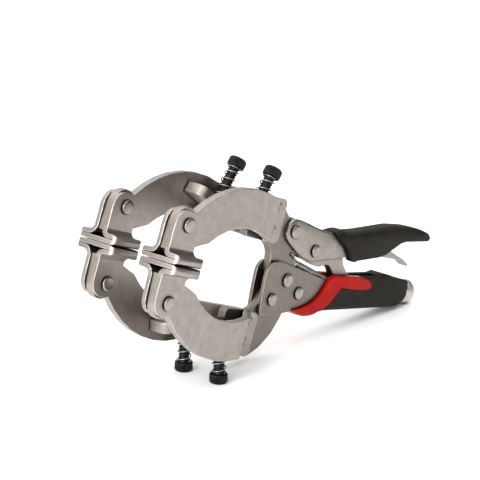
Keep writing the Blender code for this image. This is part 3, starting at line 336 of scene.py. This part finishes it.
def loft(work, rings):
    """Skins rings of points from first to last and closes both ends. A ring of one point is a tip."""
    for low, high in zip(rings, rings[1:]):
        for i in range(max(len(low), len(high))):
            corners = [low[i % len(low)], low[(i + 1) % len(low)]]
            corners += [high[(i + 1) % len(high)], high[i % len(high)]]
            corners = list(dict.fromkeys(corners))
            if len(corners) > 2:
                work.faces.new(corners).smooth = True
    for end in (rings[0], rings[-1][::-1]):
        if len(end) > 2:
            work.faces.new(end)
    bmesh.ops.recalc_face_normals(work, faces=work.faces)


def weld_bead(name, start, end, out, body):
    """A bead from start to end that bulges out of the plate."""
    run = end - start
    side = run.cross(out).normalized()
    rings = []
    work = bmesh.new()
    for i in range(BEAD_RINGS + 1):
        share = i / BEAD_RINGS
        full = math.sin(math.pi * min(max(share, BEAD_TAPER), 1 - BEAD_TAPER)) ** BEAD_FULLNESS
        swell = full * (1 + RIPPLE * math.sin(i * RIPPLE_STEP))
        middle = start + run * share + side * WANDER * MM * math.sin(i * WANDER_STEP)
        ring = []
        for k in range(BEAD_SIDES):
            angle = math.tau * k / BEAD_SIDES
            reach = side * BEAD_HALF_WIDTH * math.cos(angle) + out * BEAD_HEIGHT * math.sin(angle)
            ring.append(work.verts.new(middle + reach * MM * swell))
        rings.append(ring)
    loft(work, rings)
    bead = linked(name, mesh_of(name, work))
    bead.data.materials.append(satin_nickel)
    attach(bead, body)


for side, label in ((-1, "front"), (1, "rear")):
    out = Vector((0, side, 0))
    for number, (low, high) in enumerate(UPPER_STITCHES):
        start, end = at(WELD_FRONT, side * WELD_REACH, low), at(WELD_BACK, side * WELD_REACH, high)
        weld_bead(f"upper_{label}_weld_{number}", start, end, out, "movable_jaw")
    for number, (low, high) in enumerate(LOWER_STITCHES):
        start, end = at(WELD_BACK, side * WELD_REACH, low), at(WELD_FRONT, side * WELD_REACH, high)
        weld_bead(f"lower_{label}_weld_{number}", start, end, out, "fixed_jaw")

# The lugs: thick steel blocks, drilled and tapped, welded inside the arms and plated with them. They
# hold the pipe screws.
for quarter in QUARTERS:
    dressed(f"{quarter}_lug", satin_nickel, bevel=0.6 * MM, segments=3)

# The swivel pads: each folded from one 3 mm strip into two ears and a hemmed sole. The folds are
# painted bright, as rubbed wear and as a highlight, and painted shade darkens the narrow hems.
FOLD_LENGTH = 4 * MM
FOLD_LEAST, FOLD_MOST = math.radians(20), math.radians(65)
FOLD_ROUNDING = 1.15 * MM
ALONG_STRIP = 0.999


def round_folds(work):
    """Rounds the facets of each fold that runs along the strip."""
    along = heading(1, 0, 0)
    folds = []
    for edge in work.edges:
        run = edge.verts[1].co - edge.verts[0].co
        lengthwise = run.length > FOLD_LENGTH and abs(run.normalized().dot(along)) > ALONG_STRIP
        if lengthwise and len(edge.link_faces) == 2 and FOLD_LEAST < edge.calc_face_angle() < FOLD_MOST:
            folds.append(edge)
    bmesh.ops.bevel(work, geom=folds, offset=FOLD_ROUNDING, segments=3, profile=0.5, affect="EDGES",
                    clamp_overlap=True)


for quarter in QUARTERS:
    dressed(f"{quarter}_pad", satin_nickel, bevel=0.25 * MM, crease=50, soften=round_folds)

# The link and the release lever: pressed from sheet steel and plated to a finer, smoother satin than
# the jaws. The link joins the lever to the adjusting screw, and the release lever hangs in the lever.
# A grain of about 0.1 mm is too fine to show, so it is drawn at 0.6 mm.
FINE_GRAIN = 0.6 * MM
fine_nickel = plated_steel("fine_satin_nickel", pale="a29c96", dark="928c86", rim="eae6e0",
                           roughness=0.38, grain=FINE_GRAIN, relief=0.03 * MM)
dressed("toggle_link", fine_nickel, bevel=0.4 * MM)
dressed("release_lever", fine_nickel, bevel=0.2 * MM)

# The lever: a channel of the same plated sheet, folded downward over the link and hinged on the upper
# jaw. Its eyes are flat, and behind them its back is round, where the press folded it.
SECTION_STEP = 1.5 * MM
SECTION_DEPTH = 90 * MM
SECTION_INSET = 0.01 * MM
SECTION_OVERRUN = 1 * MM
ARC_STEPS = 8
# An edge with less run than this is upright, and gives the outline no height of its own.
UPRIGHT = 1e-7
# Sections before the start stand clear by this many radii. A blunt end keeps this share of a radius.
CLEAR_RADII = 1.2
LEAST_BEND = 0.3


def baked(piece):
    """The mesh that an object shows with its modifiers applied. The object is removed."""
    bpy.context.view_layer.update()
    mesh = bpy.data.meshes.new_from_object(piece.evaluated_get(bpy.context.evaluated_depsgraph_get()))
    bpy.data.objects.remove(piece)
    return mesh


def round_topped(half, top, bend):
    """A section as (Y, Z) points: a deep strip, twice half wide, whose two upper corners are arcs."""
    ring = [(-half, top - SECTION_DEPTH), (-half, top - bend)]
    for k in range(1, ARC_STEPS + 1):
        angle = math.radians(180 - 90 * k / ARC_STEPS)
        ring.append((bend - half + bend * math.cos(angle), top - bend + bend * math.sin(angle)))
    return ring + [(-y, z) for y, z in reversed(ring)]


def rounded_over(half, radius, sign=1, start=0.0, over=1 * MM, beside=(), blunt=0.0):
    """Rounds a channel's back (sign 1) or belly (sign -1): trims it to a run of round topped sections
    that follow its outline, and those of the pieces beside it. Places before start stay as they are,
    and over the last stretch, blunt, the rounding grows small."""
    def soften(work):
        back = STAND.inverted()
        lines = [[back @ v.co for v in e.verts] for e in work.edges]
        for name in beside:
            mesh = frame["nodes"][name].data
            lines += [[back @ mesh.vertices[i].co for i in e.vertices] for e in mesh.edges]
        places = [back @ v.co for v in work.verts]
        first, last = min(p.x for p in places), max(p.x for p in places)
        count = round((last - first) / SECTION_STEP)
        sections = []
        for i in range(count + 1):
            x = min(max(first + (last - first) * i / count, first + SECTION_INSET), last - SECTION_INSET)
            heights = []
            for a, b in lines:
                if min(a.x, b.x) <= x <= max(a.x, b.x) and abs(a.x - b.x) > UPRIGHT:
                    heights.append(a.z + (b.z - a.z) * (x - a.x) / (b.x - a.x))
            top = max(h * sign for h in heights)
            top += radius * CLEAR_RADII * (1 - min(max((x - start) / over, 0), 1))
            bend = radius * min(max((last - x) / blunt, LEAST_BEND), 1) if blunt else radius
            sections.append((x, round_topped(half, top, bend)))
        sections[0] = (sections[0][0] - SECTION_OVERRUN, sections[0][1])
        sections[-1] = (sections[-1][0] + SECTION_OVERRUN, sections[-1][1])
        hull = bmesh.new()
        rings = []
        for x, ring in sections:
            rings.append([hull.verts.new(STAND @ Vector((x, y, z * sign))) for y, z in ring])
        loft(hull, rings)
        body = bpy.data.meshes.new("body")
        work.to_mesh(body)
        channel, limit = linked("body", body), linked("hull", mesh_of("hull", hull))
        trim = channel.modifiers.new("trim", "BOOLEAN")
        trim.operation = "INTERSECT"
        trim.solver = "EXACT"
        trim.object = limit
        trimmed = baked(channel)
        bpy.data.objects.remove(limit)
        work.clear()
        work.from_mesh(trimmed)
    return soften


round_back = rounded_over(half=6.95 * MM, radius=4.0 * MM, start=159 * MM, over=8 * MM)
dressed("lever", fine_nickel, bevel=0.25 * MM, soften=round_back)

# The lever's grip: soft rubber moulded over the steel, with a raised lip at its front. It is matt
# and nearly black, slightly warm, and a little lighter where hands have rubbed it.
RUBBER_CLOUD = 14 * MM
# A spark eroded grain of about 0.1 mm, drawn at 0.6 mm so that it shows.
RUBBER_GRAIN = 0.6 * MM
LIP_BAND = 6 * MM
LIP_LEAN = 12 * MM
LIP_LEAN_OVER = 22 * MM

grip_rubber, tree, shader, place = new_material("moulded_black_rubber",
                                                {"Specular IOR Level": 0.25, "IOR": 1.5})
cloud = add(tree, "ShaderNodeTexNoise", {"Scale": 1 / RUBBER_CLOUD, "Detail": 4},
            [("Vector", place, "Object")])
grain = add(tree, "ShaderNodeTexNoise", {"Scale": 1 / RUBBER_GRAIN, "Detail": 2},
            [("Vector", place, "Object")])
tone = add(tree, "ShaderNodeValToRGB", {"stops": [(0.35, linear("1e1b16")), (0.65, linear("28241d"))]},
           [("Fac", cloud, "Fac")])
rounded, edge = edge_wear_and_highlight(tree, most=0.5)
colour = add(tree, "ShaderNodeMix", {"data_type": "RGBA", 7: linear("37332c")},
             [(0, edge, "Result"), (6, tone, "Color")])
tree.links.new(colour.outputs[2], shader.inputs["Base Color"])
dull = add(tree, "ShaderNodeMapRange", {"To Min": 0.5, "To Max": 0.68}, [("Value", cloud, "Fac")])
tree.links.new(dull.outputs["Result"], shader.inputs["Roughness"])
bump = add(tree, "ShaderNodeBump", {"Strength": 0.35, "Distance": 0.04 * MM},
           [("Height", grain, "Fac"), ("Normal", rounded, "Normal")])
tree.links.new(bump.outputs["Normal"], shader.inputs["Normal"])


def raked_and_rounded(work):
    """Leans the grip's front lip back toward its top, then rounds the grip's back."""
    back = STAND.inverted()
    places = {v: back @ v.co for v in work.verts}
    first = min(p.x for p in places.values())
    lip = [p.z for p in places.values() if p.x < first + LIP_BAND]
    low, high = min(lip), max(lip)
    for v, p in places.items():
        share = min(max((p.z - low) / (high - low), 0), 1)
        fade = min(max(1 - (p.x - first) / LIP_LEAN_OVER, 0), 1)
        v.co = STAND @ (p + Vector((LIP_LEAN * share * fade, 0, 0)))
    rounded_over(half=10.05 * MM, radius=6.9 * MM, blunt=16 * MM)(work)


dressed("lever_grip", grip_rubber, bevel=0.3 * MM, soften=raked_and_rounded)

# The fixed handle's grip: the same rubber, moulded as a deep sleeve that closes to a hood round the
# knob. Its belly is rounded for the palm.
round_belly = rounded_over(half=9.15 * MM, radius=5.0 * MM, sign=-1)
dressed("fixed_handle_grip", grip_rubber, bevel=0.3 * MM, soften=round_belly)

# The grip's front trim: a red band and tongue, moulded in hard plastic and set in the rubber. It is
# glossier than the rubber beside it, and its red is faintly clouded by the flow in the mould.
FLOW_CLOUD = 12 * MM
red_plastic, tree, shader, place = new_material("moulded_red_plastic",
                                                {"IOR": 1.49, "Specular IOR Level": 0.15})
cloud = add(tree, "ShaderNodeTexNoise", {"Scale": 1 / FLOW_CLOUD, "Detail": 3},
            [("Vector", place, "Object")])
tone = add(tree, "ShaderNodeValToRGB", {"stops": [(0.35, linear("9c0b02")), (0.65, linear("ac1204"))]},
           [("Fac", cloud, "Fac")])
tree.links.new(tone.outputs["Color"], shader.inputs["Base Color"])
dull = add(tree, "ShaderNodeMapRange", {"To Min": 0.2, "To Max": 0.32}, [("Value", cloud, "Fac")])
tree.links.new(dull.outputs["Result"], shader.inputs["Roughness"])
rounded = add(tree, "ShaderNodeBevel", {"Radius": EDGE, "samples": 6})
flow = add(tree, "ShaderNodeBump", {"Strength": 0.2, "Distance": 0.05 * MM},
           [("Height", cloud, "Fac"), ("Normal", rounded, "Normal")])
tree.links.new(flow.outputs["Normal"], shader.inputs["Normal"])
round_band = rounded_over(half=9.65 * MM, radius=5.5 * MM, sign=-1, beside=["fixed_handle_grip"])
dressed("grip_trim", red_plastic, bevel=0.3 * MM, soften=round_band)

# The rivets: bright steel, headed at both ends in a press, which leaves a smooth, flat, slightly
# domed head with a soft rim. The release lever's pin is of the same steel, without heads.
HEAD_THICKNESS = 1.8 * MM
HEAD_DOME = 0.8 * MM
SHANK_SHARE = 0.66
RIVET_STEPS = 40
# The crown's outline, as shares of the head's radius and of how far the dome drops there.
CROWN = [(0, 0), (0.5, 0.06), (0.72, 0.14), (0.86, 0.34), (0.95, 0.62), (1.0, 1.0)]
# A pressed grain of about 0.1 mm is too fine to show, so it is drawn at 0.5 mm.
PRESSED_GRAIN = 0.5 * MM
rivet_steel = plated_steel("headed_rivet_steel", pale="a8a29b", dark="918b85", rim="e8e4de",
                           roughness=0.32, grain=PRESSED_GRAIN, relief=0.03 * MM)


def revolved(name, profile, start, way, steps, shape=None):
    """A closed turned solid from (radius, height) in metres, bottom first. shape may change a radius."""
    turn = Vector((0, 0, 1)).rotation_difference(way).to_matrix()
    work = bmesh.new()
    rings = []
    for radius, height in profile:
        ring = []
        for i in range(steps if radius else 1):
            angle = math.tau * i / steps
            reach = shape(radius, height, i) if shape else radius
            spot = Vector((reach * math.cos(angle), reach * math.sin(angle), height))
            ring.append(work.verts.new(start + turn @ spot))
        rings.append(ring)
    loft(work, rings)
    return mesh_of(name, work)


def headed(name):
    """A rivet with two pressed heads, in the place and size of its CAD node."""
    low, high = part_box(name)
    half, head = (high.y - low.y) / 2, (high.x - low.x) / 2
    neck, shank = half - HEAD_THICKNESS, head * SHANK_SHARE
    crown = [(head * share, half - HEAD_DOME * drop) for share, drop in CROWN] + [(head, neck)]
    profile = [(r, -h) for r, h in crown] + [(shank, -neck), (shank, neck)] + crown[::-1]
    mesh = revolved(f"{name}_dressed", profile, (low + high) / 2, Vector((0, 1, 0)), RIVET_STEPS)
    flats = settle(mesh, rivet_steel, name).modifiers.new("flats", "WEIGHTED_NORMAL")
    flats.keep_sharp = True


for name in ("main_pivot_rivet", "lever_pivot_rivet", "jaw_rivet_1", "jaw_rivet_2", "toggle_rivet"):
    headed(name)
for quarter in QUARTERS:
    headed(f"{quarter}_pad_rivet")
dressed("release_lever_pin", rivet_steel, bevel=0.2 * MM)

# The pipe screws: M8 socket head cap screws of hardened steel, blackened in an oxide bath and oiled.
# Their heads are knurled for the fingers, and the oxide is dark, with a soft gleam on each crest.
SCREW_LENGTH = 40 * MM
SHANK_RADIUS = 3.9 * MM
HEAD_RADIUS = 6.3 * MM
HEAD_HEIGHT = 6.7 * MM
HEAD_TOP = SCREW_LENGTH + HEAD_HEIGHT
SOCKET_HALF = 3.0 * MM
SOCKET_CORNER = SOCKET_HALF / math.cos(math.radians(30))
SOCKET_DEPTH = 4 * MM
# The head has 36 knurls, with three steps round to each.
KNURL_DEPTH = 0.35 * MM
SCREW_STEPS = 36 * 3
THREAD_END = 1 * MM
# A pitch of 1.25 mm is too fine to show, so the thread is drawn at 1.9 mm. It is drawn as rings of
# crest and root, because the lead of one pitch doesn't show at this size.
PITCH = 1.9 * MM
THREAD_DEPTHS = (0.0, 0.35, 0.85, 0.35)
# The tip of the upper rear screw in the tool's own frame, in millimetres. The others mirror it.
SCREW_X, SCREW_Y, SCREW_Z = 78.0, 16, 31
# Facets of less than 0.4 square millimetres are shaded smooth, and the larger flats stay plain.
SMOOTH_FACET = 0.4e-6
OXIDE_CLOUD = 2 * MM

black_oxide, tree, shader, place = new_material("oiled_black_oxide",
                                                {"Metallic": 0.35, "Specular IOR Level": 0.5})
cloud = add(tree, "ShaderNodeTexNoise", {"Scale": 1 / OXIDE_CLOUD, "Detail": 4},
            [("Vector", place, "Object")])
tone = add(tree, "ShaderNodeValToRGB", {"stops": [(0.3, linear("0e0e0f")), (0.75, linear("232324"))]},
           [("Fac", cloud, "Fac")])
tree.links.new(tone.outputs["Color"], shader.inputs["Base Color"])
dull = add(tree, "ShaderNodeMapRange", {"To Min": 0.32, "To Max": 0.5}, [("Value", cloud, "Fac")])
tree.links.new(dull.outputs["Result"], shader.inputs["Roughness"])
scale = add(tree, "ShaderNodeBump", {"Strength": 0.3, "Distance": 0.03 * MM}, [("Height", cloud, "Fac")])
tree.links.new(scale.outputs["Normal"], shader.inputs["Normal"])

thread = []
for i in range(int((SCREW_LENGTH - 2 * THREAD_END) / PITCH) * 4 + 1):
    thread.append((SHANK_RADIUS - THREAD_DEPTHS[i % 4] * MM, THREAD_END + i * PITCH / 4))
# The screw's outline from its tip: the thread, the head's underside, side and top, and the socket.
screw_outline = [
    (0, 0),
    (SHANK_RADIUS - 1 * MM, 0),
    *thread,
    (SHANK_RADIUS - 0.3 * MM, SCREW_LENGTH),
    (HEAD_RADIUS - 0.9 * MM, SCREW_LENGTH),
    (HEAD_RADIUS - 0.35 * MM, SCREW_LENGTH + 0.3 * MM),
    (HEAD_RADIUS, SCREW_LENGTH + 0.9 * MM),
    (HEAD_RADIUS, HEAD_TOP - 1.2 * MM),
    (HEAD_RADIUS - 0.35 * MM, HEAD_TOP - 0.7 * MM),
    (HEAD_RADIUS - 1.0 * MM, HEAD_TOP),
    (SOCKET_CORNER, HEAD_TOP),
    (SOCKET_CORNER, HEAD_TOP - SOCKET_DEPTH),
    (0, HEAD_TOP - SOCKET_DEPTH),
]


def knurled(radius, height, step):
    """The head's side has a groove at every third step, and the socket has six flats."""
    if radius == HEAD_RADIUS and step % 3 == 0:
        return radius - KNURL_DEPTH
    if radius == SOCKET_CORNER:
        turned = (math.tau * step / SCREW_STEPS) % math.radians(60) - math.radians(30)
        return SOCKET_HALF / math.cos(turned)
    return radius


def screw_line(quarter):
    """The place of a quarter's screw tip, and the way from there to its head."""
    level = 1 if "upper" in quarter else -1
    side = -1 if "front" in quarter else 1
    tip = at(SCREW_X, side * SCREW_Y, level * SCREW_Z)
    return tip, heading(math.sin(LEAN), 0, level * math.cos(LEAN))


for quarter in QUARTERS:
    tip, way = screw_line(quarter)
    mesh = revolved(f"{quarter}_screw_dressed", screw_outline, tip, way, SCREW_STEPS, knurled)
    settle(mesh, black_oxide, f"{quarter}_screw")
    for polygon in mesh.polygons:
        polygon.use_smooth = polygon.area < SMOOTH_FACET

# The springs under the heads: round wire, drawn bright and coiled open, which catches a thin line of
# light along each turn. Each stands on its lug round its screw.
SPRING_START = 13.7 * MM
SPRING_WIRE = 0.42 * MM
SPRING_CLEARANCE = 0.75 * MM
UNDER_HEAD = 0.3 * MM
SPRING_TURNS = 5.5
SPRING_STEPS = 28
# Draw marks of under 0.1 mm are too fine to show, so they are drawn as a shallow 0.5 mm grain.
WIRE_GRAIN = 0.5 * MM
wire_steel = plated_steel("drawn_spring_wire", pale="b4afa8", dark="8f8a84", rim="dcd8d2",
                          roughness=0.34, grain=WIRE_GRAIN, relief=0.01 * MM)


def coil(name, points, radius):
    """A round wire through the points, in the scene but not yet on a body."""
    curve = bpy.data.curves.new(name, "CURVE")
    curve.dimensions = "3D"
    curve.bevel_depth = radius
    curve.bevel_resolution = 3
    curve.use_fill_caps = True
    spline = curve.splines.new("POLY")
    spline.points.add(len(points) - 1)
    for point, place in zip(spline.points, points):
        point.co = (*place, 1)
    mesh = baked(linked(name, curve))
    mesh.name = name
    mesh.polygons.foreach_set("use_smooth", [True] * len(mesh.polygons))
    mesh.materials.append(wire_steel)
    return linked(name, mesh)


def helix(start, run, radius, turns, steps, side):
    """A coil along a run, with half a closed turn at each end."""
    up = run.cross(side).normalized()
    points = []
    for i in range(round(turns * steps) + 1):
        turn = i / steps
        share = min(max((turn - 0.5) / (turns - 1), 0), 1)
        around = side * math.cos(math.tau * turn) + up * math.sin(math.tau * turn)
        points.append(start + run * share + around * radius)
    return points


for quarter in QUARTERS:
    tip, way = screw_line(quarter)
    foot = tip + way * (SPRING_START + SPRING_WIRE)
    run = way * (SCREW_LENGTH - UNDER_HEAD - SPRING_WIRE - SPRING_START - SPRING_WIRE)
    points = helix(foot, run, SHANK_RADIUS + SPRING_CLEARANCE, SPRING_TURNS, SPRING_STEPS, Vector((0, 1, 0)))
    spring = coil(f"{quarter}_spring_dressed", points, SPRING_WIRE)
    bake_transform(spring)
    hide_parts(f"{quarter}_screw_spring")

# The adjusting screw and its knob: a drawn steel rod in the handle's tail, and on it a knob die cast
# in zinc and plated, with a grooved skirt and a dome whose pebbles catch the light in grains. It sets
# the jaws' opening.
KNOB_PLACE = at(299.284, 0, 8.884)
KNOB_SLOPE = math.radians(8.0015)
KNOB_RADIUS = 9.2 * MM
KNOB_LENGTH = 14.3 * MM
KNOB_DOME = 6.0 * MM
DOME_STEPS = 12
# The skirt has forty grooves, with three steps round to each.
KNOB_STEPS = 40 * 3
GROOVE_DEPTH = 0.5 * MM
GROOVES_START = 2 * MM
GROOVES_STOP = KNOB_LENGTH - 1.5 * MM
GROOVES_FADE = 4 * MM
PEBBLE = 0.9 * MM
die_cast_zinc = plated_steel("die_cast_zinc_plate", pale="f2eee8", dark="c4beb6", rim="faf7f2",
                             roughness=0.46, grain=PEBBLE, relief=0.25 * MM)

# The knob's outline from its front: a chamfered collar, a narrow neck, the skirt and then the dome.
knob_outline = [
    (0, 0),
    (KNOB_RADIUS - 1.0 * MM, 0),
    (KNOB_RADIUS - 0.3 * MM, 0.3 * MM),
    (KNOB_RADIUS - 0.1 * MM, 1.4 * MM),
    (KNOB_RADIUS - 0.8 * MM, 1.8 * MM),
    (KNOB_RADIUS, 2.4 * MM),
    (KNOB_RADIUS, KNOB_LENGTH - KNOB_DOME),
]
for i in range(1, DOME_STEPS):
    angle = math.pi / 2 * (1 - i / DOME_STEPS)
    knob_outline.append((KNOB_RADIUS * math.sin(angle), KNOB_LENGTH - KNOB_DOME * (1 - math.cos(angle))))
knob_outline.append((0, KNOB_LENGTH))


def grooved(radius, height, step):
    """Forty grooves on the skirt, fading out over the dome."""
    if height <= GROOVES_START or step % 3:
        return radius
    return radius - GROOVE_DEPTH * min(max((GROOVES_STOP - height) / GROOVES_FADE, 0), 1)


knob_way = heading(math.cos(KNOB_SLOPE), 0, math.sin(KNOB_SLOPE))
knob = revolved("adjusting_knob_dressed", knob_outline, KNOB_PLACE, knob_way, KNOB_STEPS, grooved)
settle(knob, die_cast_zinc, "adjusting_knob")
dressed("adjusting_screw", wire_steel, bevel=0.2 * MM)

# The return spring: a close wound tension coil of the same drawn wire, hooked in the jaw's neck and
# on the channel's tongue. It is bright where the coils face the light, and pulls the jaws open.
NECK_HOLE = at(153.577, 0, 19.7)
COIL_START = at(165.477, 0, 13.6)
COIL_END = at(202.977, 0, 6.7)
TONGUE_HOOK = ((204.577, -2.25, 3.78), (209.43, -2.25, 3.18), (209.43, 2.25, 3.18), (204.577, 2.25, 3.48))
FRONT = Vector((0, -1, 0))
HOOK_REACH = FRONT * 3.85 * MM
# The hook's front leg runs straight over this share of the way from the hole to the coil.
HOOK_SHARE = 0.6
RETURN_WIRE = 0.55 * MM
RETURN_RADIUS = 2.1 * MM
RETURN_STEPS = 20
# Close wound wire of 1.1 mm is too fine to show, so its turns are drawn a little apart.
RETURN_TURNS = 17
points = [NECK_HOLE - HOOK_REACH, NECK_HOLE + HOOK_REACH]
points.append(NECK_HOLE + (COIL_START - NECK_HOLE) * HOOK_SHARE + HOOK_REACH)
points += helix(COIL_START, COIL_END - COIL_START, RETURN_RADIUS, RETURN_TURNS, RETURN_STEPS, FRONT)
points += [at(*corner) for corner in TONGUE_HOOK]
spring = coil("return_spring_dressed", points, RETURN_WIRE)
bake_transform(spring)
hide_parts("return_spring")

# The print: the plain tone curve with a little more contrast, as in a catalogue picture.
view = bpy.context.scene.view_settings
view.view_transform = "Standard"
view.look = "Medium High Contrast"
